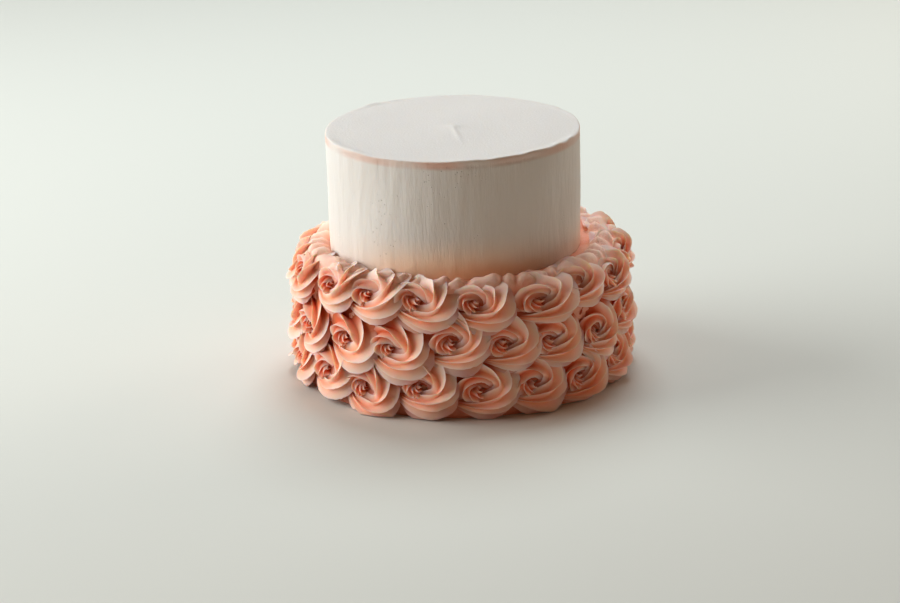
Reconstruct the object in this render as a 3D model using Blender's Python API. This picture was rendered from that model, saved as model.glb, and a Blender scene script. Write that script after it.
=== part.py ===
"""A two-tier layer cake: a smooth white upper tier on a lower tier that is covered with piped rosettes.

Run it with blender --background --python part.py, or from Blender's text editor.
Metres, +Z up. The origin is the middle of the flat base, and the cake's front faces -Y.
Angles round the cake are counted from the front, positive towards +X.
"""

import math
import random

import bmesh
import bpy
from mathutils import Vector

# Upper tier: a 6 inch cake with its coat of buttercream, set down a little off centre
UPPER_OFFSET_X = -0.003
UPPER_RADIUS_TOP = 0.0815
UPPER_RADIUS_BASE = 0.0803
CAKE_HEIGHT = 0.1595
RIM_ROUND = 0.0030
RIM_LIP_HEIGHT = 0.0008
RIM_LIP_WIDTH = 0.0045
PEAK_HEIGHT = 0.0020
PEAK_RADIUS = 0.011
UPPER_STEPS = 64

# Lower tier: an 8 inch cake with a thin coat, under the rosettes
LOWER_RADIUS = 0.102
LOWER_HEIGHT = 0.0825
SHOULDER_ROUND = 0.010
LOWER_STEPS = 72

# Rosettes: three rows, the middle one set half a pitch round
ROSETTES_IN_ROW = 18
ROW_HEIGHTS = {"bottom": 0.0196, "middle": 0.0471, "top": 0.0715}
HALF_HEIGHTS = {"bottom": 0.0186, "middle": 0.0180, "top": 0.0180}
ROW_PHASE_DEG = {"bottom": 3.5, "middle": -6.5, "top": 3.5}
ROW_ABOVE = {"bottom": "middle", "middle": "top", "top": None}
HALF_WIDTH = 0.0210
CREAM_DEPTH = 0.0112
PITCH_RADIUS = 0.109
LEAN_DOWN_DEG = 8.0
LEAN_OVER_DEG = 74.0
FOOT_CLEARANCE = 0.0016
SIZE_JITTER = 0.04

# Hand piping: each rosette from the front round to the right, then from the left back to the front,
# is this many degrees and millimetres off its place in the row.
UNEVENNESS = {
    "bottom": {-3: (0.5, 2.6), -2: (-0.8, -2.3), -1: (-0.3, 2.2), 0: (0.0, 0.5), 1: (-0.9, 0.7), 2: (-1.8, -3.0)},
    "middle": {-2: (1.1, -0.5), -1: (-0.2, -0.4), 0: (0.8, 4.0), 1: (-1.5, 1.3), 2: (-4.1, -0.5), 3: (-2.5, -4.0)},
    "top": {-3: (2.8, 2.5), -2: (0.8, 2.5), -1: (-0.7, 1.6), 0: (-0.5, 0.0), 1: (2.0, -2.4), 3: (-0.4, -3.0)},
}
ANGLE_JITTER_DEG = 1.5
HEIGHT_JITTER_MM = 1.8
# The outline moves by this share of the unevenness in height, and the eye by the rest.
OUTLINE_SHARE = 0.4

# Ridges of one rosette
RIDGES = 7
SWEEP_DEG = 78.0
RIDGE_LIFT = 0.0011
RIDGE_REACH = 0.035
# Each ring: share of the way out to the edge, share of the cream's depth
RINGS = ((0.17, 0.70), (0.36, 0.93), (0.58, 1.0), (0.78, 0.90), (0.93, 0.66), (1.0, 0.36))
EYE_DEPTH_SHARE = 0.58
EYE_LIFT = 0.0012
LIP_SHARE = 0.32
THINNEST_SHARE = 0.22

GAP = 0.0003
EDGE_GAP = 0.0009
BACK_GAP = 0.0009
BACK_GAP_BENT = 0.0022
SEED = 7

COLOURS = {
    "white_buttercream": ((0.86, 0.82, 0.76, 1.0), 0.52),
    "peach_coat": ((0.80, 0.42, 0.29, 1.0), 0.60),
    "peach_buttercream": ((0.84, 0.47, 0.34, 1.0), 0.48),
}


def clear_scene():
    for obj in list(bpy.data.objects):
        bpy.data.objects.remove(obj, do_unlink=True)


def make_material(name):
    colour, roughness = COLOURS[name]
    material = bpy.data.materials.new(name)
    material.use_nodes = True
    shader = material.node_tree.nodes["Principled BSDF"]
    shader.inputs["Base Color"].default_value = colour
    shader.inputs["Roughness"].default_value = roughness
    shader.inputs["Metallic"].default_value = 0.0
    return material


def add_object(name, bm, material):
    mesh = bpy.data.meshes.new(name)
    bm.to_mesh(mesh)
    bm.free()
    mesh.materials.append(material)
    obj = bpy.data.objects.new(name, mesh)
    bpy.context.scene.collection.objects.link(obj)
    return obj


def smooth_step(low, high, value):
    share = min(1.0, max(0.0, (value - low) / (high - low)))
    return share * share * (3 - 2 * share)


def arc(centre, radius, start_deg, end_deg, steps):
    """Points (x, z) of an arc, from one angle to the other."""
    points = []
    for step in range(steps + 1):
        angle = math.radians(start_deg + (end_deg - start_deg) * step / steps)
        points.append((centre[0] + radius * math.cos(angle), centre[1] + radius * math.sin(angle)))
    return points


def turned_solid(name, profile, steps, material):
    """A solid turned from an outline of (x, z) points that runs from the top's middle to the base's."""
    bm = bmesh.new()
    points = [bm.verts.new((x, 0, z)) for x, z in profile]
    for first, second in zip(points, points[1:]):
        bm.edges.new((first, second))
    obj = add_object(name, bm, material)
    screw = obj.modifiers.new("turn", "SCREW")
    screw.steps = steps
    screw.render_steps = steps
    screw.use_merge_vertices = True
    screw.merge_threshold = 0.00005
    screw.use_smooth_shade = False
    return obj


def upper_tier_profile():
    """The smoothed top has a small peak in its middle and a low lip round its edge."""
    plane = CAKE_HEIGHT - RIM_LIP_HEIGHT
    peak = [
        (PEAK_RADIUS * share, plane + PEAK_HEIGHT * (1 - share) ** 3)
        for share in (0.0, 0.15, 0.35, 0.65, 1.0)
    ]
    round_centre = (UPPER_RADIUS_TOP - RIM_ROUND, CAKE_HEIGHT - RIM_ROUND)
    lip_start = UPPER_RADIUS_TOP - RIM_ROUND - RIM_LIP_WIDTH
    rim = arc(round_centre, RIM_ROUND, 90, 0, 4)
    base = LOWER_HEIGHT + GAP
    return peak + [(lip_start, plane)] + rim + [(UPPER_RADIUS_BASE, base), (0, base)]


def lower_tier_profile():
    centre = (LOWER_RADIUS - SHOULDER_ROUND, LOWER_HEIGHT - SHOULDER_ROUND)
    shoulder = arc(centre, SHOULDER_ROUND, 90, 0, 5)
    return [(0, LOWER_HEIGHT)] + shoulder + [(LOWER_RADIUS, 0), (0, 0)]


def skin_point(climb):
    """(radius, height) on the lower tier's skin after climbing this far up from its base, and over its shoulder."""
    straight = LOWER_HEIGHT - SHOULDER_ROUND
    quarter = SHOULDER_ROUND * math.pi / 2
    if climb <= straight:
        return LOWER_RADIUS, climb
    turned = min(climb - straight, quarter) / SHOULDER_ROUND
    radius = LOWER_RADIUS - SHOULDER_ROUND * (1 - math.cos(turned))
    height = straight + SHOULDER_ROUND * math.sin(turned)
    return radius - max(0.0, climb - straight - quarter), height


def cream_point(around, climb, out):
    """A point in the cream: that far round from a rosette's middle, up the skin, and out of it."""
    radius, height = skin_point(climb)
    straight = LOWER_HEIGHT - SHOULDER_ROUND
    over = smooth_step(straight - 0.012, straight + SHOULDER_ROUND * 1.6, climb)
    lean = math.radians(-LEAN_DOWN_DEG + (LEAN_DOWN_DEG + LEAN_OVER_DEG) * over)
    radius += out * math.cos(lean)
    height += out * math.sin(lean)
    angle = around / PITCH_RADIUS
    return Vector((radius * math.sin(angle), -radius * math.cos(angle), height))


def plan_rosettes():
    """Where each rosette sits, in order from the front: one dictionary for each."""
    draw = random.Random(SEED)
    plan = []
    for row, height in ROW_HEIGHTS.items():
        for index in range(ROSETTES_IN_ROW):
            place = index if index <= ROSETTES_IN_ROW // 2 else index - ROSETTES_IN_ROW
            by_chance = (
                draw.uniform(-ANGLE_JITTER_DEG, ANGLE_JITTER_DEG),
                draw.uniform(-HEIGHT_JITTER_MM, HEIGHT_JITTER_MM),
            )
            off_angle, off_height = UNEVENNESS[row].get(place, by_chance)
            angle = ROW_PHASE_DEG[row] + place * 360 / ROSETTES_IN_ROW + off_angle
            size = 1 + draw.uniform(-SIZE_JITTER, SIZE_JITTER)
            rise = off_height / 1000
            climb = height + rise * OUTLINE_SHARE
            plan.append(
                {
                    "name": f"rosette_{row}_{index + 1:02d}",
                    "row": row,
                    "index": index,
                    "angle": math.radians(angle),
                    "climb": climb,
                    "eye_up": rise * (1 - OUTLINE_SHARE) + EYE_LIFT,
                    "half_width": HALF_WIDTH * size,
                    "half_height": min(HALF_HEIGHTS[row], climb - FOOT_CLEARANCE),
                    "turn": draw.uniform(0, 2 * math.pi / RIDGES),
                }
            )
    return plan


def lies_over(other, one):
    """True if other was piped over one: the row above, and the neighbour on its left."""
    if other["row"] == ROW_ABOVE[one["row"]]:
        return True
    return other["row"] == one["row"] and (one["index"] - other["index"]) % ROSETTES_IN_ROW == 1


def distance_to_oval(direction, offset, half_width, half_height):
    """How far along a direction from the origin an oval at this offset begins, or None."""
    dx, dy = direction[0] / half_width, direction[1] / half_height
    cx, cy = offset[0] / half_width, offset[1] / half_height
    a = dx * dx + dy * dy
    b = dx * cx + dy * cy
    inside = b * b - a * (cx * cx + cy * cy - 1)
    if inside <= 0 or b <= 0:
        return None
    return (b - math.sqrt(inside)) / a


def reach(one, covering, angle):
    """How far the rosette goes in this direction before its own edge, or before one that covers it."""
    direction = (math.cos(angle), math.sin(angle))
    own = 1 / math.hypot(direction[0] / one["half_width"], direction[1] / one["half_height"])
    best = own
    for other in covering:
        turn = (other["angle"] - one["angle"] + math.pi) % (2 * math.pi) - math.pi
        offset = (turn * PITCH_RADIUS, other["climb"] - one["climb"])
        met = distance_to_oval(
            direction, offset, other["half_width"] + EDGE_GAP, other["half_height"] + EDGE_GAP
        )
        if met is not None:
            best = min(best, met)
    return best


def rosette_mesh(one, covering):
    """A closed body: swept ridges on its face, a thin edge, and a back that follows the skin."""
    columns = 2 * RIDGES
    anchor = Vector((0, -LOWER_RADIUS, one["climb"]))
    bm = bmesh.new()

    def vertex(share, angle, out):
        far = share * reach(one, covering, angle)
        climb = one["climb"] + far * math.sin(angle) + (1 - share) * one["eye_up"]
        return bm.verts.new(cream_point(far * math.cos(angle), climb, out) - anchor)

    rings = []
    for share, depth_share in RINGS:
        ring = []
        for column in range(columns):
            ridge = 1 if column % 2 == 0 else -1
            # The ridges sweep clockwise as they come in towards the eye.
            sweep = math.radians(SWEEP_DEG) * (1 - share)
            angle = one["turn"] + column * 2 * math.pi / columns - sweep
            lift = ridge * RIDGE_LIFT * math.sin(math.pi * min(1.0, share + 0.25))
            shrink = 1 - (RIDGE_REACH if ridge < 0 else 0)
            # The lower lip stands proud of the row below.
            lip = -LIP_SHARE * math.sin(angle) * share ** 3
            depth = CREAM_DEPTH * max(THINNEST_SHARE, depth_share + lip)
            ring.append(vertex(share * shrink, angle, depth + lift))
        rings.append(ring)
    eye = vertex(0.0, 0.0, CREAM_DEPTH * EYE_DEPTH_SHARE)

    bent = one["row"] == "top"
    back_gap = BACK_GAP_BENT if bent else BACK_GAP
    back = []
    for share in (1.0, 0.5) if bent else (1.0,):
        ring = []
        for column in range(columns):
            angle = one["turn"] + column * 2 * math.pi / columns
            shrink = 1 - (RIDGE_REACH if column % 2 else 0)
            ring.append(vertex(share * shrink, angle, back_gap))
        back.append(ring)
    middle = vertex(0.0, 0.0, back_gap)

    loops = rings + back
    for inner, outer in zip(loops, loops[1:]):
        for column in range(columns):
            after = (column + 1) % columns
            bm.faces.new((inner[column], outer[column], outer[after], inner[after]))
    for column in range(columns):
        after = (column + 1) % columns
        bm.faces.new((eye, loops[0][column], loops[0][after]))
        bm.faces.new((middle, loops[-1][after], loops[-1][column]))
    bmesh.ops.triangulate(bm, faces=bm.faces[:], quad_method="SHORT_EDGE")
    return bm, anchor


def add_rosette(one, plan, material):
    covering = [other for other in plan if lies_over(other, one)]
    bm, anchor = rosette_mesh(one, covering)
    obj = add_object(one["name"], bm, material)
    turn = one["angle"]
    obj.location = (-anchor.y * math.sin(turn), anchor.y * math.cos(turn), anchor.z)
    obj.rotation_euler = (0, 0, turn)
    return obj


def main():
    clear_scene()
    white, coat, peach = (make_material(name) for name in COLOURS)
    upper = turned_solid("upper_tier", upper_tier_profile(), UPPER_STEPS, white)
    upper.location.x = UPPER_OFFSET_X
    turned_solid("lower_tier", lower_tier_profile(), LOWER_STEPS, coat)
    plan = plan_rosettes()
    for one in plan:
        add_rosette(one, plan, peach)


main()
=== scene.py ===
# Layer cake: a smooth white tier on a wider one that is covered with piped peach rosettes.
import math
import random

import bpy
import numpy as np
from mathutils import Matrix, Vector


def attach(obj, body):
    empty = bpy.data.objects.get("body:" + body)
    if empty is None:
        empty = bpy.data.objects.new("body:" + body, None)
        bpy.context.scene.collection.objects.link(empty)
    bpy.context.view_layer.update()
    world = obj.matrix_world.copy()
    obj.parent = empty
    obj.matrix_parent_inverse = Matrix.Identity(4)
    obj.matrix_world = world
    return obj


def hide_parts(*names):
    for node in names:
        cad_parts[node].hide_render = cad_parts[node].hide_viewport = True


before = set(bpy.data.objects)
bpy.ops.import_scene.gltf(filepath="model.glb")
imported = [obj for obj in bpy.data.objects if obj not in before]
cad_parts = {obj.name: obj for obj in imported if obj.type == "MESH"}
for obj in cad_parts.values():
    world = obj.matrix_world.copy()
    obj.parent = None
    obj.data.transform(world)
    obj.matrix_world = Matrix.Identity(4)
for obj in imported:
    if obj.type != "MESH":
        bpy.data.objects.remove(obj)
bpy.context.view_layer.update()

scene = bpy.context.scene
scene.view_settings.view_transform = "Standard"


def smooth(low, high, value):
    share = np.clip((value - low) / (high - low), 0.0, 1.0)
    return share * share * (3 - 2 * share)


# soft noise at each point: a few waves of about one size, in directions drawn from the seed
def roughness(points, seed, size, height=1.0, count=7, evenness=0.7):
    draw = np.random.default_rng(seed)
    total = np.zeros(points.shape[:-1])
    for _ in range(count):
        way = draw.normal(size=3)
        way /= np.linalg.norm(way)
        rate = 2 * math.pi / (size * draw.uniform(evenness, 2 * evenness))
        total += np.sin(points @ way * rate + draw.uniform(0, 2 * math.pi))
    return total * height * evenness / math.sqrt(count / 2)


# a profile of (radius, height) pairs turned round the cake's axis, from the front towards +X
def turnProfile(profile, around):
    turn = np.linspace(0, 2 * math.pi, around, endpoint=False)
    outward = np.stack([np.sin(turn), -np.cos(turn), np.zeros(around)], -1)
    radii, heights = np.array(profile).T
    points = radii[:, None, None] * outward[None]
    points[..., 2] = heights[:, None]
    return turn, outward, points


# a skin over rings of points, closed by one point at either end
def skinRings(name, points):
    rings, around = points.shape[:2]
    index = np.arange(rings * around).reshape(rings, around)
    after = np.roll(index, -1, axis=1)
    sides = np.stack([index[:-1], after[:-1], after[1:], index[1:]], axis=-1).reshape(-1, 4).tolist()
    first, last = rings * around, rings * around + 1
    startCap = [(b, a, first) for a, b in zip(index[0].tolist(), after[0].tolist())]
    endCap = [(a, b, last) for a, b in zip(index[-1].tolist(), after[-1].tolist())]
    corners = np.vstack([points.reshape(-1, 3), points[0].mean(axis=0), points[-1].mean(axis=0)])
    mesh = bpy.data.meshes.new(name)
    mesh.from_pydata(corners.tolist(), [], sides + startCap + endCap)
    mesh.polygons.foreach_set("use_smooth", [True] * len(mesh.polygons))
    mesh.update()
    return mesh


# a share from 0 to 1 at each point, and at the two points that close the ends
def addMask(mesh, label, shares, atEnds=1.0):
    mask = mesh.attributes.new(label, "FLOAT", "POINT")
    mask.data.foreach_set("value", np.append(shares, [atEnds, atEnds]).astype(np.float32))


def addPiece(mesh, material, node):
    mesh.materials.append(material)
    piece = bpy.data.objects.new(mesh.name, mesh)
    scene.collection.objects.link(piece)
    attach(piece, "root")
    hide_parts(node)


cameraPlace = {
    "aim": (-0.0077, 0.0, 0.0425),
    "distance": 2.0,
    "elevation": 18.41,
    "roll": -1.57,
    "lens": 123.4,
    "sensor": 36.0,
}


def addCamera(place):
    tilt = math.radians(place["elevation"])
    roll = math.radians(place["roll"])
    back = Vector((0, -math.cos(tilt), math.sin(tilt)))
    right = Vector((1, 0, 0))
    up = back.cross(right)
    across = right * math.cos(roll) + up * math.sin(roll)
    upright = up * math.cos(roll) - right * math.sin(roll)
    data = bpy.data.cameras.new("camera")
    data.lens = place["lens"]
    data.sensor_width = place["sensor"]
    data.sensor_fit = "HORIZONTAL"
    camera = bpy.data.objects.new("camera", data)
    scene.collection.objects.link(camera)
    turn = camera.matrix_world.copy()
    for row in range(3):
        turn[row][0] = across[row]
        turn[row][1] = upright[row]
        turn[row][2] = back[row]
        turn[row][3] = place["aim"][row] + back[row] * place["distance"]
    camera.matrix_world = turn
    scene.camera = camera


addCamera(cameraPlace)
print("camera placed")


# the shader group's inputs: each one's kind, and its name in a finish
creamInputs = {
    "Light Colour": ("NodeSocketColor", "light"),
    "Deep Colour": ("NodeSocketColor", "deep"),
    "Depth": ("NodeSocketFloat", "depth"),
    "Painted Shade Colour": ("NodeSocketColor", "paintedShade"),
    "Painted Shade": ("NodeSocketFloat", None),  # only a mask fills it
    "Foot Shading Colour": ("NodeSocketColor", "footShading"),
    "Foot Low": ("NodeSocketFloat", "footLow"),
    "Foot High": ("NodeSocketFloat", "footHigh"),
    "Foot Amount": ("NodeSocketFloat", "footAmount"),
    "Patch Scale": ("NodeSocketFloat", "patchScale"),
    "Grain Scale": ("NodeSocketFloat", "grainScale"),
    "Pit Scale": ("NodeSocketFloat", "pitScale"),
    "Pit Amount": ("NodeSocketFloat", "pitAmount"),
    "Drag": ("NodeSocketFloat", "drag"),
}

creamOutputs = {
    "Colour": "NodeSocketColor",
    "Roughness": "NodeSocketFloat",
    "Height": "NodeSocketFloat",
}

creamSurface = {
    "patchDetail": 2.0,
    "patchShare": 0.5,
    "patchLow": 0.3,
    "patchHigh": 0.7,
    "satin": 0.50,
    "dull": 0.66,
    "grainDetail": 4.0,
    "grainRoughness": 0.6,
    "pitRadius": 0.16,
    "pitsFrom": 0.52,
    "pitsFull": 0.70,
}


# makes a node, then sets or links its inputs
def addNode(tree, kind, inputs=None, **settings):
    node = tree.nodes.new(kind)
    for key, value in settings.items():
        setattr(node, key, value)
    for key, value in (inputs or {}).items():
        if isinstance(value, bpy.types.NodeSocket):
            tree.links.new(value, node.inputs[key])
        else:
            node.inputs[key].default_value = value
    return node


def mixColours(tree, share, first, second):
    inputs = {"Factor": share, "A": first, "B": second}
    return addNode(tree, "ShaderNodeMix", inputs, data_type="RGBA").outputs["Result"]


def remap(tree, value, fromLow, fromHigh, toLow=0.0, toHigh=1.0, curve="LINEAR"):
    inputs = {"Value": value, "From Min": fromLow, "From Max": fromHigh, "To Min": toLow, "To Max": toHigh}
    return addNode(tree, "ShaderNodeMapRange", inputs, interpolation_type=curve).outputs["Result"]


# the light and deep colours mix by depth and random patches (painted highlight and shade on the peach
# cream, a plain tone on the white); then the painted shade colour by its mask; then the foot colour
# towards the bottom: painted warm glow on the white tier, partly smear, and painted shade on the peach
# cream
def creamColour(tree, start, place, patches, values):
    inputs = {0: patches, 1: values["patchShare"], 2: -values["patchShare"] / 2}
    spread = addNode(tree, "ShaderNodeMath", inputs, operation="MULTIPLY_ADD")
    inputs = {0: start["Depth"], 1: spread.outputs[0]}
    depth = addNode(tree, "ShaderNodeMath", inputs, operation="ADD", use_clamp=True)
    colour = mixColours(tree, depth.outputs[0], start["Light Colour"], start["Deep Colour"])
    colour = mixColours(tree, start["Painted Shade"], colour, start["Painted Shade Colour"])
    height = addNode(tree, "ShaderNodeSeparateXYZ", {0: place}).outputs["Z"]
    foot = remap(tree, height, start["Foot Low"], start["Foot High"], 1.0, 0.0, "SMOOTHSTEP")
    inputs = {0: foot, 1: start["Foot Amount"]}
    footShare = addNode(tree, "ShaderNodeMath", inputs, operation="MULTIPLY", use_clamp=True)
    return mixColours(tree, footShare.outputs[0], colour, start["Foot Shading Colour"])


# fine grain drawn out along the spatula's way, with small pits in some patches
def creamHeight(tree, start, place, patches, values):
    stretch = addNode(tree, "ShaderNodeCombineXYZ", {"X": 1.0, "Y": 1.0, "Z": start["Drag"]})
    inputs = {0: place, 1: stretch.outputs[0]}
    drawn = addNode(tree, "ShaderNodeVectorMath", inputs, operation="MULTIPLY")
    inputs = {
        "Vector": drawn.outputs[0],
        "Scale": start["Grain Scale"],
        "Detail": values["grainDetail"],
        "Roughness": values["grainRoughness"],
    }
    grain = addNode(tree, "ShaderNodeTexNoise", inputs)
    pits = addNode(tree, "ShaderNodeTexVoronoi", {"Vector": place, "Scale": start["Pit Scale"]})
    hollow = remap(tree, pits.outputs["Distance"], 0.0, values["pitRadius"], -1.0, 0.0, "SMOOTHSTEP")
    chosen = remap(tree, patches, values["pitsFrom"], values["pitsFull"])
    pitDepth = addNode(tree, "ShaderNodeMath", {0: hollow, 1: chosen}, operation="MULTIPLY")
    inputs = {0: pitDepth.outputs[0], 1: start["Pit Amount"], 2: grain.outputs["Fac"]}
    return addNode(tree, "ShaderNodeMath", inputs, operation="MULTIPLY_ADD").outputs[0]


def makeCreamGroup(values):
    group = bpy.data.node_groups.new("creamSurface", "ShaderNodeTree")
    for name, (kind, _) in creamInputs.items():
        group.interface.new_socket(name=name, in_out="INPUT", socket_type=kind)
    for name, kind in creamOutputs.items():
        group.interface.new_socket(name=name, in_out="OUTPUT", socket_type=kind)
    start = addNode(group, "NodeGroupInput").outputs
    place = addNode(group, "ShaderNodeTexCoord").outputs["Object"]
    inputs = {"Vector": place, "Scale": start["Patch Scale"], "Detail": values["patchDetail"]}
    patches = addNode(group, "ShaderNodeTexNoise", inputs).outputs["Fac"]
    outputs = {
        "Colour": creamColour(group, start, place, patches, values),
        "Roughness": remap(
            group, patches, values["patchLow"], values["patchHigh"], values["satin"], values["dull"]
        ),
        "Height": creamHeight(group, start, place, patches, values),
    }
    addNode(group, "NodeGroupOutput", outputs)
    return group


creamGroup = makeCreamGroup(creamSurface)

finishes = {
    "whiteButtercream": {
        "light": (0.72, 0.69, 0.64, 1),
        "deep": (0.695, 0.65, 0.58, 1),
        "depth": 0.35,
        # painted shadow under the top edge's rim
        "paintedShade": (0.68, 0.45, 0.355, 1),
        "patchScale": 28.0,
        "grainScale": 620.0,
        "pitScale": 380.0,
        "pitAmount": 3.0,
        "drag": 0.14,
        "relief": 0.00030,
        "throughWeight": 0.25,
        "throughRadius": (1.0, 0.75, 0.55),
        "throughScale": 0.004,
        # painted warm glow of light bounced from the rosettes, partly peach cream smeared on the foot
        "footShading": (1.0, 0.725, 0.49, 1),
        "footLow": 0.085,
        "footHigh": 0.113,
    },
    "peachCoat": {
        # painted light on the tops of the ledge folds (light); the rest of the coat takes mostly the deep
        # colour
        "light": (1.0, 0.70, 0.57, 1),
        "deep": (0.90, 0.32, 0.18, 1),
        "patchScale": 60.0,
        "grainScale": 600.0,
        "pitScale": 260.0,
        "pitAmount": 2.0,
        "drag": 1.0,
        "relief": 0.0004,
        "throughWeight": 0.3,
        "throughRadius": (1.0, 0.4, 0.22),
        "throughScale": 0.004,
        # painted shade at the foot of the coat, under the bottom row
        "footShading": (0.62, 0.17, 0.09, 1),
        "footLow": 0.002,
        "footHigh": 0.014,
        "footAmount": 0.8,
    },
    "peachButtercream": {
        # painted highlight on the crests of the ridges (light) and painted shade in the hollows (deep)
        "light": (1.0, 0.755, 0.655, 1),
        "deep": (0.95, 0.42, 0.245, 1),
        # painted shade: the dark colour for the recesses, the eye and the undersides of the rosettes
        "paintedShade": (0.74, 0.125, 0.04, 1),
        "patchScale": 45.0,
        "grainScale": 900.0,
        "pitScale": 420.0,
        "pitAmount": 0.8,
        "drag": 1.0,
        "relief": 0.00006,
        "throughWeight": 0.5,
        "throughRadius": (1.0, 0.42, 0.20),
        "throughScale": 0.0035,
        # painted shade, darker towards the bottom of the lowest rosettes
        "footShading": (0.88, 0.36, 0.24, 1),
        "footLow": 0.0,
        "footHigh": 0.022,
        "footAmount": 0.45,
    },
}
creamIor = 1.45
creamSpecular = 0.2


# masks names the mesh attributes that fill inputs of the group. an input with no value and no mask is 0
def makeFinish(name, masks):
    values = finishes[name]
    material = bpy.data.materials.new(name)
    material.use_nodes = True
    tree = material.node_tree
    shader = tree.nodes["Principled BSDF"]
    inputs = {socket: values[key] for socket, (_, key) in creamInputs.items() if key in values}
    for socket, attribute in masks.items():
        inputs[socket] = addNode(tree, "ShaderNodeAttribute", attribute_name=attribute).outputs["Fac"]
    surface = addNode(tree, "ShaderNodeGroup", inputs, node_tree=creamGroup)
    inputs = {"Strength": 1.0, "Distance": values["relief"], "Height": surface.outputs["Height"]}
    bump = addNode(tree, "ShaderNodeBump", inputs)
    tree.links.new(surface.outputs["Colour"], shader.inputs["Base Color"])
    tree.links.new(surface.outputs["Roughness"], shader.inputs["Roughness"])
    tree.links.new(bump.outputs["Normal"], shader.inputs["Normal"])
    shader.inputs["Subsurface Weight"].default_value = values["throughWeight"]
    shader.inputs["Subsurface Radius"].default_value = values["throughRadius"]
    shader.inputs["Subsurface Scale"].default_value = values["throughScale"]
    shader.inputs["IOR"].default_value = creamIor
    shader.inputs["Specular IOR Level"].default_value = creamSpecular
    return material


whiteButtercream = makeFinish("whiteButtercream", {"Foot Amount": "glowAndSmear", "Painted Shade": "rimShade"})
peachCoat = makeFinish("peachCoat", {"Depth": "hollow"})
peachButtercream = makeFinish("peachButtercream", {"Depth": "hollow", "Painted Shade": "paintedShade"})
print("materials made")


upperTier = {
    "offset": -0.003,
    "radiusTop": 0.0815,
    "radiusBase": 0.0803,
    "top": 0.1593,
    "base": 0.0822,
    "edgeRound": 0.0013,
    "innermost": 0.0012,
    "around": 320,
    "topRings": 46,
    "edgeRings": 7,
    "sideRings": 74,
    "topFrom": 0.002,
    "peakHeight": 0.0017,
    "peakWidth": 0.0042,
    "trailHeight": 0.0005,
    "trailWidth": 0.0018,
    "trailDegrees": 8.0,
    "trailFrom": 0.004,
    "trailFade": 0.012,
    "trailEnd": 0.045,
    "swirlArms": 2,
    "swirlHeight": 0.00022,
    "swirlTwist": 90.0,
    "swirlFull": 0.03,
    "lipHeight": 0.0007,
    "lipFrom": 0.0755,
    "lipFull": 0.0800,
    "lipPatches": {"seed": 23, "size": 0.07},
    "lipShown": (-0.6, 1.2),
    "lipRoughness": {"seed": 21, "size": 0.011, "height": 0.00035},
    # where the painted shadow under the rim lies
    "rimShadeUpper": (0.0001, 0.0008),
    "rimShadeLower": (0.0034, 0.0058),
    "rimShadeShare": 0.6,
    "rimShadePatches": {"seed": 16, "size": 0.035, "height": 0.35},
    # the patches of the painted glow at the foot, partly smear
    "glowAndSmearPatches": 3,
    "glowAndSmearTurn": -6.0,
    "glowAndSmearLeast": 0.05,
    "glowAndSmearMost": 1.0,
    "wavesFrom": 0.06,
    "wavesFull": 0.08,
    "slowWaves": {"seed": 3, "size": 0.055, "height": 0.00035},
    "dragStretch": 0.16,
    "dragWaves": {"seed": 12, "size": 0.013, "height": 0.00009},
    "fineDragWaves": {"seed": 11, "size": 0.0050, "height": 0.00007},
    "seamDrop": 0.0034,
    "seamHeight": 0.0012,
    "seamDepth": 0.0004,
    "seamPatches": {"seed": 14, "size": 0.03},
    "seamShown": (-0.4, 0.8),
    "seamGrain": {"seed": 15, "size": 0.004, "height": 0.5},
}


def upperTierProfile(values):
    edge = values["edgeRound"]
    radius, height = values["radiusTop"] - edge, values["top"] - edge
    profile = [(r, values["top"]) for r in np.linspace(values["innermost"], radius, values["topRings"])]
    for bend in np.linspace(0, math.pi / 2, values["edgeRings"])[1:]:
        profile.append((radius + edge * math.sin(bend), height + edge * math.cos(bend)))
    radii = np.linspace(values["radiusTop"], values["radiusBase"], values["sideRings"])
    heights = np.linspace(height, values["base"], values["sideRings"])
    return profile + list(zip(radii, heights))[1:]


# the spatula's swirl, the small peak with its trail, and a lip that comes and goes
def topRelief(values, points, turn):
    radius = np.hypot(points[..., 0], points[..., 1])
    swirl = np.sin(values["swirlArms"] * turn + radius * values["swirlTwist"])
    swirl = swirl * smooth(0.0, values["swirlFull"], radius)
    peak = values["peakHeight"] * np.exp(-radius / values["peakWidth"])
    beside = radius * np.sin(turn - math.radians(values["trailDegrees"]))
    trail = values["trailHeight"] * np.exp(-(beside / values["trailWidth"]) ** 2) * (np.cos(turn) > 0)
    trail = trail * smooth(0.0, values["trailFrom"], radius)
    trail = trail * (1 - smooth(values["trailFade"], values["trailEnd"], radius))
    flat = points * np.array([1, 1, 0])
    shown = smooth(*values["lipShown"], roughness(flat, **values["lipPatches"]))
    shown = shown * smooth(values["lipFrom"], values["lipFull"], radius)
    lip = shown * (values["lipHeight"] + roughness(flat, **values["lipRoughness"]))
    return values["swirlHeight"] * swirl + peak + trail + lip


# a faint seam runs just under the top edge, where the top was smoothed over the side
def edgeSeam(values, points, drawn):
    below = (values["top"] - values["seamDrop"] - points[..., 2]) / values["seamHeight"]
    shown = smooth(*values["seamShown"], roughness(drawn, **values["seamPatches"]))
    worn = shown * (1 + roughness(points, **values["seamGrain"]))
    return values["seamDepth"] * np.exp(-(below ** 2)) * worn


# painted warm glow of light bounced from the rosettes onto the foot, in a few patches round it; partly
# peach cream smeared on the foot
def footGlowAndSmear(values, turn):
    patches = np.cos(values["glowAndSmearPatches"] * (turn - math.radians(values["glowAndSmearTurn"])))
    return values["glowAndSmearLeast"] + (values["glowAndSmearMost"] - values["glowAndSmearLeast"]) * (0.5 + patches / 2)


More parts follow.
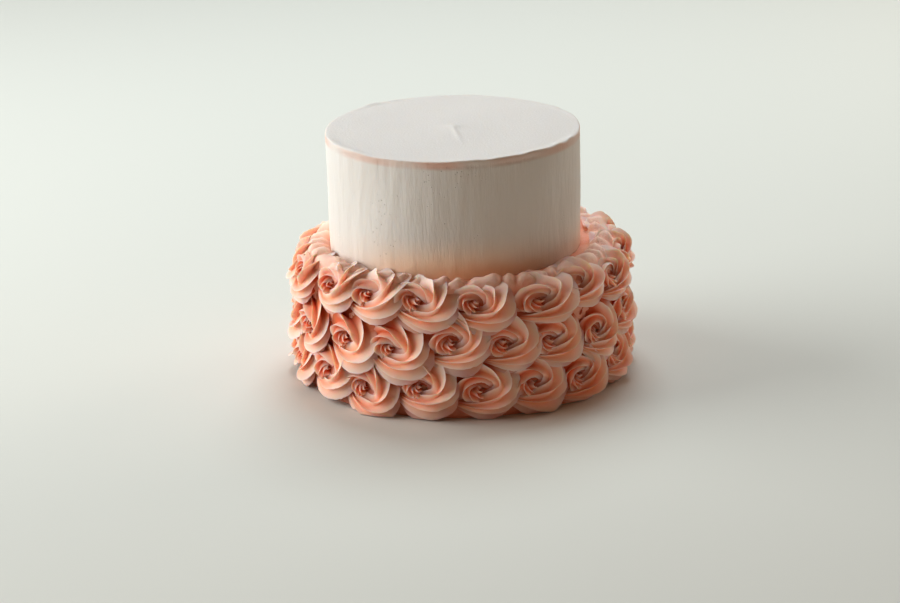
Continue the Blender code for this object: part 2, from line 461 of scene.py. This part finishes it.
# painted shadow in a patchy band just under the top edge, where the rim stands out over the side
def edgeRimShade(values, points):
    below = values["top"] - points[..., 2]
    rimShade = smooth(*values["rimShadeUpper"], below) * (1 - smooth(*values["rimShadeLower"], below))
    return rimShade * np.clip(values["rimShadeShare"] + roughness(points, **values["rimShadePatches"]), 0, 1)


def upperTierPoints(values):
    turn, outward, points = turnProfile(upperTierProfile(values), values["around"])
    onTop = smooth(values["top"] - values["topFrom"], values["top"], points[..., 2])
    relief = topRelief(values, points, turn[None, :])
    drawn = points * np.array([1.0, 1.0, values["dragStretch"]])
    radius = np.hypot(points[..., 0], points[..., 1])
    slow = roughness(points, **values["slowWaves"])
    slow = slow * smooth(values["wavesFrom"], values["wavesFull"], radius)
    drag = roughness(drawn, **values["fineDragWaves"]) + roughness(drawn, **values["dragWaves"])
    rimShade = edgeRimShade(values, points)
    push = slow + (drag - edgeSeam(values, points, drawn)) * (1 - onTop)
    points += outward[None] * push[..., None]
    points[..., 2] += relief * onTop
    points[..., 0] += values["offset"]
    return points, np.broadcast_to(footGlowAndSmear(values, turn), points.shape[:2]), rimShade


upperTierSkin, upperTierGlowAndSmear, upperTierRimShade = upperTierPoints(upperTier)
upperTierMesh = skinRings("upperTierCream", upperTierSkin)
addMask(upperTierMesh, "glowAndSmear", upperTierGlowAndSmear)
addMask(upperTierMesh, "rimShade", upperTierRimShade, 0.0)
addPiece(upperTierMesh, whiteButtercream, "upper_tier")
print("upper tier made")


lowerTier = {
    "radius": 0.102,
    "height": 0.0825,
    "shoulder": 0.010,
    "innermost": 0.004,
    "around": 432,
    "ledgeRings": 30,
    "shoulderRings": 9,
    "sideRings": 34,
    "sideFrom": 0.092,
    "sideFull": 0.101,
    "footClear": 0.001,
    "coatWaves": {"seed": 41, "size": 0.012, "height": 0.0005},
    "coatGrain": {"seed": 42, "size": 0.004, "height": 0.0002},
    "ledgeRoughness": 0.5,
    "coatHollow": 0.75,
    "bankFrom": 0.0825,
    "bankFull": 0.0885,
    "bankFade": 0.096,
    "bankEnd": 0.101,
    "bankHeight": 0.0058,
    "bankLeast": 0.35,
    "bankFolds": 22,
    "bankTwist": 90.0,
    "bankSway": {"seed": 43, "size": 0.03, "height": 1.2},
    "bankLoose": {"seed": 44, "size": 0.022, "height": 0.25},
}


def lowerTierProfile(values):
    shoulder = values["shoulder"]
    radius, height = values["radius"] - shoulder, values["height"] - shoulder
    ledge = np.linspace(values["innermost"], radius, values["ledgeRings"])
    profile = [(r, values["height"]) for r in ledge]
    for bend in np.linspace(0, math.pi / 2, values["shoulderRings"])[1:]:
        profile.append((radius + shoulder * math.sin(bend), height + shoulder * math.cos(bend)))
    return profile + [(values["radius"], h) for h in np.linspace(height, 0.0, values["sideRings"])[1:]]


# the folds of cream that reach in over the ledge behind the top row
def ledgeBank(values, points, turn):
    radius = np.hypot(points[..., 0], points[..., 1])
    sway = roughness(points, **values["bankSway"])
    fold = np.abs(np.sin(values["bankFolds"] * turn[None, :] + radius * values["bankTwist"] + sway))
    onLedge = smooth(values["bankFrom"], values["bankFull"], radius)
    onLedge = onLedge * (1 - smooth(values["bankFade"], values["bankEnd"], radius))
    onLedge = onLedge * (points[..., 2] > values["height"] - values["shoulder"])
    fold = values["bankLeast"] + (1 - values["bankLeast"]) * fold
    return values["bankHeight"] * onLedge * fold * (1 + roughness(points, **values["bankLoose"]))


def lowerTierPoints(values):
    turn, outward, points = turnProfile(lowerTierProfile(values), values["around"])
    rough = roughness(points, **values["coatWaves"]) + roughness(points, **values["coatGrain"])
    rough = rough * smooth(0.0, values["footClear"], points[..., 2])
    onSide = smooth(values["sideFrom"], values["sideFull"], np.hypot(points[..., 0], points[..., 1]))
    points += outward[None] * (rough * onSide)[..., None]
    points[..., 2] += rough * (1 - onSide) * values["ledgeRoughness"]
    bank = ledgeBank(values, points, turn)
    points[..., 2] += bank
    # painted light on the tops of the ledge folds: the mask is low there and higher in the folds' hollows
    # and on the rest of the coat
    return points, values["coatHollow"] * (1 - np.clip(bank / values["bankHeight"], 0, 1))


lowerTierSkin, lowerTierHollow = lowerTierPoints(lowerTier)
lowerTierMesh = skinRings("lowerTierCoat", lowerTierSkin)
addMask(lowerTierMesh, "hollow", lowerTierHollow)
addPiece(lowerTierMesh, peachCoat, "lower_tier")
print("lower tier made")


rows = {
    "count": 18,
    "heights": {"bottom": 0.0196, "middle": 0.0471, "top": 0.0715},
    "phase": {"bottom": 3.5, "middle": -6.5, "top": 3.5},
    "pitchRadius": 0.109,
    "angleJitter": 1.5,
    "heightJitter": 1.8,
    "sizeJitter": 0.04,
    "eyeLift": 0.0012,
    "ridges": 7,
    "seed": 7,
    "leanFrom": -8.0,
    "leanTo": 74.0,
    "leanBelow": 0.012,
    "leanAbove": 0.016,
}

# in one metre
millimetres = 1000
centimetres = 100

# degrees and millimetres off the even place, counted from the front round to either side
unevenness = {
    "bottom": {
        -3: (0.5, 2.6),
        -2: (-0.8, -2.3),
        -1: (-0.3, 2.2),
        0: (0.0, 0.5),
        1: (-0.9, 0.7),
        2: (-1.8, -3.0),
    },
    "middle": {
        -2: (1.1, -0.5),
        -1: (-0.2, -0.4),
        0: (0.8, 4.0),
        1: (-1.5, 1.3),
        2: (-4.1, -0.5),
        3: (-2.5, -4.0),
    },
    "top": {
        -3: (2.8, 2.5),
        -2: (0.8, 2.5),
        -1: (-0.7, 1.6),
        0: (-0.5, 0.0),
        1: (2.0, -2.4),
        3: (-0.4, -3.0),
    },
}

# one rosette, in centimetres and degrees, about its eye
piping = {
    "ropeRadius": 1.12,
    "loopRadius": 1.14,
    "loopWobble": 0.04,
    "loopWaves": 2,
    "loopCentre": (0.16, -0.26),
    "wide": 1.36,
    "startAngle": -140.0,
    "turn": 385.0,
    "innerShare": 0.25,
    "fullAt": 0.46,
    "startSize": 0.62,
    "startGrow": 0.5,
    "startRise": 0.22,
    "tailFrom": 0.76,
    "tailOut": 0.45,
    "tailSize": 0.08,
    "tailPower": 1.2,
    "tailSink": 0.25,
    "perTooth": 8,
    "crowd": 2.0,
    "sharp": 1.3,
    "valley": 0.36,
    "weakest": 0.5,
    "lobe": 0.22,
    "lobeMiddle": 0.4,
    "lobeFrom": 1.2,
    "lobeFull": 2.3,
    "tiltStart": 38.0,
    "tiltEnd": 56.0,
    "tiltGrow": 0.4,
    "sunk": 0.1,
    "midHeight": 0.22,
    "shingle": 0.20,
    "sideLean": 0.08,
    "depthScale": 0.93,
    "lowShare": 0.88,
    "funnel": 0.20,
    "funnelWidth": 0.95,
    "starTurn": 0.0,
    "innerFan": 0.35,
    "terrace": 2.3,
    "follow": 0.36,
    "followFrom": 0.3,
    "columnSteps": 6,
    "steps": 80,
    "waviness": 0.06,
    "waveRate": 17.0,
    "wavePace": (0.7, 1.3),
    "fineWaviness": 0.018,
    "fineWaveRate": 43.0,
    "tear": 0.022,
    "tearPower": 3,
    "crestShare": 0.55,
    # the painted shade's mask: darker in the hollows near the eye and where the cream lies low
    "shadePower": 2,
    "shadeFrom": 0.25,
    "shadeTo": 1.5,
    "shadeLow": 0.05,
    "shadeHigh": 0.42,
    "underShade": 0.5,
    "underFrom": -0.5,
    "underTo": 0.2,
    "outermost": 0.1139,
    "lowest": 0.0006,
    "thinnest": 0.0003,
}

# how far one rosette may differ from the next
handMade = {
    "startAngle": (-16.0, 12.0),
    "turn": (-8.0, 8.0),
    "innerShare": (-0.06, 0.04),
    "startSize": (-0.05, 0.06),
    "starTurn": (0.0, 45.0),
    "follow": (-0.06, 0.06),
    "midHeight": (-0.03, 0.03),
}
toothCounts = (10, 11, 12)
spinEitherWay = 12.0
handMadeSeed = 1000

# the top row stands up past the shoulder on a bend of its own
crown = {
    "bendFrom": 0.066,
    "bendRadius": 0.0245,
    "bendFull": 0.9,
    "leanFrom": -3.0,
    "leanTo": 57.0,
    "deepest": -0.004,
    "highShare": 0.66,
    "lowShare": 0.84,
    "eyeRise": 0.0032,
    "petalSpacing": 60.0,
    "petalReach": 0.16,
    "petalBase": 0.15,
    "petalRise": 0.16,
    "petalFrom": 0.9,
    "petalFull": 1.8,
    "petalIn": 0.0065,
    "eyeClear": 0.01,
    "upFrom": -0.1,
    "upFull": 0.6,
    # painted light on the upper part of the top row, which faces up to the lamps
    "paintedLightFrom": -0.3,
    "paintedLightTo": 1.0,
    "paintedLightShare": 0.65,
}


def planRosettes():
    draw = random.Random(rows["seed"])
    plan = []
    for row, height in rows["heights"].items():
        for index in range(rows["count"]):
            place = index if index <= rows["count"] // 2 else index - rows["count"]
            byChance = (
                draw.uniform(-rows["angleJitter"], rows["angleJitter"]),
                draw.uniform(-rows["heightJitter"], rows["heightJitter"]),
            )
            offAngle, offHeight = unevenness[row].get(place, byChance)
            angle = rows["phase"][row] + place * 360 / rows["count"] + offAngle
            size = 1 + draw.uniform(-rows["sizeJitter"], rows["sizeJitter"])
            draw.uniform(0, 2 * math.pi / rows["ridges"])  # the solids draw this too, so the places agree
            plan.append({
                "name": f"{row}_{index + 1:02d}",
                "row": row,
                "angle": math.radians(angle),
                "eye": height + offHeight / millimetres + rows["eyeLift"],
                "size": size,
                "seed": len(plan),
            })
    return plan


# a point round, up and out from the lower tier's side, as radius, turn and height
def wallPoint(around, climb, out):
    shoulder = lowerTier["shoulder"]
    straight = lowerTier["height"] - shoulder
    turned = np.clip(climb - straight, 0, shoulder * math.pi / 2) / shoulder
    radius = lowerTier["radius"] - shoulder * (1 - np.cos(turned))
    radius = radius - np.maximum(0.0, climb - straight - shoulder * math.pi / 2)
    height = np.minimum(climb, straight) + shoulder * np.sin(turned)
    over = smooth(straight - rows["leanBelow"], straight + rows["leanAbove"], climb)
    lean = np.radians(rows["leanFrom"] + (rows["leanTo"] - rows["leanFrom"]) * over)
    return radius + out * np.cos(lean), around / rows["pitchRadius"], height + out * np.sin(lean)


# the same for the top row, on its own bend
def crownPoint(around, climb, out):
    bend = np.clip(climb - crown["bendFrom"], 0, None) / crown["bendRadius"]
    radius = lowerTier["radius"] - crown["bendRadius"] * (1 - np.cos(bend))
    height = np.minimum(climb, crown["bendFrom"]) + crown["bendRadius"] * np.sin(bend)
    over = smooth(0.0, crown["bendFull"], bend)
    lean = np.radians(crown["leanFrom"] + (crown["leanTo"] - crown["leanFrom"]) * over)
    return radius + out * np.cos(lean), around / rows["pitchRadius"], height + out * np.sin(lean)


# the nozzle's way once round the eye, clockwise, after a short stay at the start.
# s goes from 0 to 1 along it; u is across, v up and w out from the wall, in centimetres
def nozzlePath(values, draw):
    column = values["columnSteps"]
    s = np.concatenate([np.zeros(column), np.linspace(0, 1, values["steps"])])
    angle = np.radians(values["startAngle"] + values["turn"] * s)
    reach = values["innerShare"] + (1 - values["innerShare"]) * smooth(0, values["fullAt"], s)
    wobble = values["loopWobble"] * np.sin(angle * values["loopWaves"] + draw.uniform(0, 2 * math.pi))
    reach = reach * values["loopRadius"] * (1 + wobble)
    tail = smooth(values["tailFrom"], 1.0, s)
    u = reach * np.sin(angle) * values["wide"] - values["tailOut"] * tail + values["loopCentre"][0]
    v = reach * np.cos(angle) + values["loopCentre"][1]
    way = np.gradient(np.stack([u, v], 1)[column:], axis=0)
    way /= np.linalg.norm(way, axis=1)[:, None]
    return s, tail, u, v, np.concatenate([np.repeat(way[:1], column, 0), way])


# the star nozzle's outline, with most of its points close to the tips of the teeth
def starOutline(values, draw):
    teeth = values["teeth"]
    spread = np.linspace(-1, 1, values["perTooth"], endpoint=False)
    spread = np.sign(spread) * np.abs(spread) ** values["crowd"]
    phi = np.concatenate([(tooth + spread / 2) * 2 * math.pi / teeth for tooth in range(teeth)])
    tooth = np.repeat(np.arange(teeth), values["perTooth"])
    strength = np.array([draw.uniform(values["weakest"], 1.0) for _ in range(teeth)])[tooth]
    ridge = (1 - np.abs(np.sin(phi * teeth / 2))) ** values["sharp"]
    return phi, tooth, ridge, values["valley"] + (1 - values["valley"]) * ridge * strength


# each ridge is wavy and a little torn in its own way
def unevenRidges(values, draw, seed, s, tooth, ridge):
    ranges = ((0, 2 * math.pi), (0, 2 * math.pi), values["wavePace"])
    sway = [[draw.uniform(*ends) for ends in ranges] for _ in range(values["teeth"])]
    first, second, pace = np.array(sway)[tooth].T
    way = s[:, None] * pace
    wavy = 1 + np.sin(way * values["waveRate"] + first) * values["waviness"]
    wavy = wavy + np.sin(way * values["fineWaveRate"] + second) * values["fineWaviness"]
    ragged = np.random.default_rng(seed).uniform(-1, 1, (len(s), values["teeth"]))
    return wavy, ragged[:, tooth] * values["tear"] * ridge ** values["tearPower"]


# sweeps the star along the path; its teeth turn less than the path does, so the ridges fan out
def pipeRosette(values, seed):
    draw = random.Random(seed)
    s, tail, u, v, way = nozzlePath(values, draw)
    phi, tooth, ridge, star = starOutline(values, draw)
    wavy, torn = unevenRidges(values, draw, seed, s, tooth, ridge)
    grown = smooth(0, values["startGrow"], s)
    size = values["ropeRadius"] * (1 - (1 - values["tailSize"]) * tail ** values["tailPower"])
    size = size * (values["startSize"] + (1 - values["startSize"]) * grown)
    rise = np.clip(np.arange(len(s)) / values["columnSteps"], 0, 1)
    tiltMore = (values["tiltEnd"] - values["tiltStart"]) * smooth(0, values["tiltGrow"], s)
    tilt = np.radians(values["tiltStart"] + tiltMore) * rise
    lift = (values["midHeight"] + values["sunk"] + values["startRise"] * (1 - grown)) * rise
    lift = lift - values["sunk"] - values["tailSink"] * tail
    heading = np.unwrap(np.arctan2(way[:, 1], way[:, 0]))
    lag = 1 - values["follow"] * smooth(0.0, values["followFrom"], s)
    facing = phi + math.radians(values["starTurn"]) - (heading[0] + (heading - heading[0]) * lag)[:, None]
    facing = facing - values["innerFan"] * np.cos(facing)
    reach = size[:, None] * (star * wavy + torn)
    ahead = reach * np.cos(facing) * np.cos(tilt)[:, None]
    aside = reach * np.sin(facing)
    above = -reach * np.sign(np.cos(facing)) * np.abs(np.cos(facing)) ** values["terrace"]
    u = u[:, None] + ahead * way[:, 0:1] - aside * way[:, 1:2] - values["loopCentre"][0]
    v = v[:, None] + ahead * way[:, 1:2] + aside * way[:, 0:1] - values["loopCentre"][1]
    w = lift[:, None] + above * np.sin(tilt)[:, None] - values["shingle"] * v + values["sideLean"] * u
    # the ridges reach past the hollows at the rim, as petals do
    atRim = smooth(values["lobeFrom"], values["lobeFull"], np.hypot(u, v))
    stretch = 1 + values["lobe"] * (ridge - values["lobeMiddle"]) * atRim
    u = u * stretch + values["loopCentre"][0]
    v = v * stretch + values["loopCentre"][1]
    w = w - values["funnel"] * (1 - smooth(0.0, values["funnelWidth"], np.hypot(u, v)))
    v = np.where(v < 0, v * values["lowShare"], v)
    w = w * values["depthScale"]
    # painted highlight and shade: light on the crests, deep in the hollows
    hollow = np.broadcast_to((1 - ridge) ** values["crestShare"], u.shape)
    # painted shade: darker in the hollows near the eye, under the rope and where the cream lies low
    # between rosettes
    paintedShade = hollow ** values["shadePower"] * (1 - smooth(values["shadeFrom"], values["shadeTo"], np.hypot(u, v)))
    paintedShade = paintedShade + values["underShade"] * smooth(values["underFrom"], values["underTo"], np.cos(facing))
    paintedShade = np.clip(paintedShade + 1 - smooth(values["shadeLow"], values["shadeHigh"], w), 0, 1)
    return u, v, w, hollow, paintedShade


# the upper rim of the top row stands up in pointed folds
def standPetals(u, v, w, shift):
    apart = np.hypot(u, v)
    about = np.degrees(np.arctan2(u, v)) + shift
    wave = np.abs(np.sin(math.pi * about / crown["petalSpacing"]))
    fold = 1 - wave * (1 + wave) / 2
    upward = smooth(crown["upFrom"], crown["upFull"], v / np.maximum(apart, crown["eyeClear"]))
    share = (fold - crown["petalBase"]) * smooth(crown["petalFrom"], crown["petalFull"], apart) * upward
    stretch = 1 + crown["petalReach"] * share
    return u * stretch, v * stretch, w + crown["petalRise"] * share


# a crisp edge along the top of every ridge
def sharpenCrests(mesh, columns, perTooth):
    ends = np.empty(len(mesh.edges) * 2, dtype=np.int32)
    mesh.edges.foreach_get("vertices", ends)
    first, second = ends.reshape(-1, 2).T
    along = (np.abs(first - second) == columns) & (first % columns % perTooth == perTooth // 2)
    mesh.attributes.new("sharp_edge", "BOOLEAN", "EDGE").data.foreach_set("value", along)


def addRosette(one):
    values = dict(piping)
    draw = random.Random(handMadeSeed + one["seed"])
    values["teeth"] = draw.choice(toothCounts)
    for key, (least, most) in handMade.items():
        values[key] += draw.uniform(least, most)
    u, v, w, hollow, paintedShade = pipeRosette(values, one["seed"])
    spin = math.radians(draw.uniform(-spinEitherWay, spinEitherWay))
    u, v = u * math.cos(spin) - v * math.sin(spin), u * math.sin(spin) + v * math.cos(spin)
    scale = one["size"] / centimetres
    if one["row"] == "top":
        # painted light: the upper part of each top-row rosette is paler and takes less painted shade
        paintedLight = smooth(crown["paintedLightFrom"], crown["paintedLightTo"], v)
        paintedShade = paintedShade * (1 - paintedLight)
        hollow = hollow * (1 - crown["paintedLightShare"] * paintedLight)
        u, v, w = standPetals(u, v, w, draw.uniform(0, crown["petalSpacing"]))
        climb = v * scale * np.where(v > 0, crown["highShare"], crown["lowShare"])
        eye = one["eye"] + crown["eyeRise"]
        out = np.clip(w / centimetres, crown["deepest"], None)
        radius, turn, height = crownPoint(u * scale, eye + climb, out)
        radius = radius - crown["petalIn"] * smooth(crown["petalFrom"], crown["petalFull"], v)
    else:
        out = np.clip(w / centimetres, values["thinnest"], None)
        radius, turn, height = wallPoint(u * scale, one["eye"] + v * scale, out)
    radius = np.minimum(radius, values["outermost"])
    height = np.maximum(height, values["lowest"])
    turn = turn + one["angle"]
    points = np.stack([radius * np.sin(turn), -radius * np.cos(turn), height], -1)
    mesh = skinRings("pipedRosette_" + one["name"], points)
    sharpenCrests(mesh, points.shape[1], values["perTooth"])
    addMask(mesh, "hollow", hollow)
    addMask(mesh, "paintedShade", paintedShade)
    addPiece(mesh, peachButtercream, "rosette_" + one["name"])


for one in planRosettes():
    addRosette(one)
print("rosettes piped")


studio = {
    "floor": (0.67, 0.68, 0.61, 1),
    "floorRoughness": 0.9,
    "floorFrom": (-6, -4),
    "floorTo": (6, 8),
    "air": (1.0, 0.48, 0.26, 1),
    "airStrength": 0.115,
}

lights = {
    "window": {
        "place": (-1.6, 0.12, 0.58),
        "aim": (0, 0, 0.08),
        "size": 1.9,
        "power": 44.0,
        "colour": (0.95, 0.98, 1.0),
    },
    "ceiling": {
        "place": (0.1, 1.0, 1.7),
        "aim": (0, 0, 0.1),
        "size": 1.2,
        "power": 28.0,
        "colour": (0.80, 0.92, 1.0),
    },
    "backRight": {
        "place": (1.3, 1.0, 0.5),
        "aim": (0, 0, 0.08),
        "size": 0.8,
        "power": 6.7,
        "colour": (1.0, 0.90, 0.80),
    },
    "warmFill": {
        "place": (0.9, -1.6, 0.5),
        "aim": (0, 0, 0.08),
        "size": 1.4,
        "power": 1.9,
        "colour": (1.0, 0.66, 0.42),
    },
}


def addFloor(values):
    (left, front), (right, back) = values["floorFrom"], values["floorTo"]
    mesh = bpy.data.meshes.new("floor")
    corners = [(left, front, 0), (right, front, 0), (right, back, 0), (left, back, 0)]
    mesh.from_pydata(corners, [], [(0, 1, 2, 3)])
    material = bpy.data.materials.new("paleFloor")
    material.use_nodes = True
    shader = material.node_tree.nodes["Principled BSDF"]
    shader.inputs["Base Color"].default_value = values["floor"]
    shader.inputs["Roughness"].default_value = values["floorRoughness"]
    mesh.materials.append(material)
    floor = bpy.data.objects.new("floor", mesh)
    scene.collection.objects.link(floor)


def addAir(values):
    world = bpy.data.worlds.new("studioAir")
    scene.world = world
    world.use_nodes = True
    background = world.node_tree.nodes["Background"]
    background.inputs["Color"].default_value = values["air"]
    background.inputs["Strength"].default_value = values["airStrength"]


def addLight(name, values):
    data = bpy.data.lights.new(name, "AREA")
    data.shape = "DISK"
    data.size = values["size"]
    data.energy = values["power"]
    data.color = values["colour"]
    lamp = bpy.data.objects.new(name, data)
    scene.collection.objects.link(lamp)
    lamp.location = values["place"]
    lamp.rotation_euler = (Vector(values["aim"]) - lamp.location).to_track_quat("-Z", "Y").to_euler()


addFloor(studio)
addAir(studio)
for name, values in lights.items():
    addLight(name, values)
print("floor and lights set")
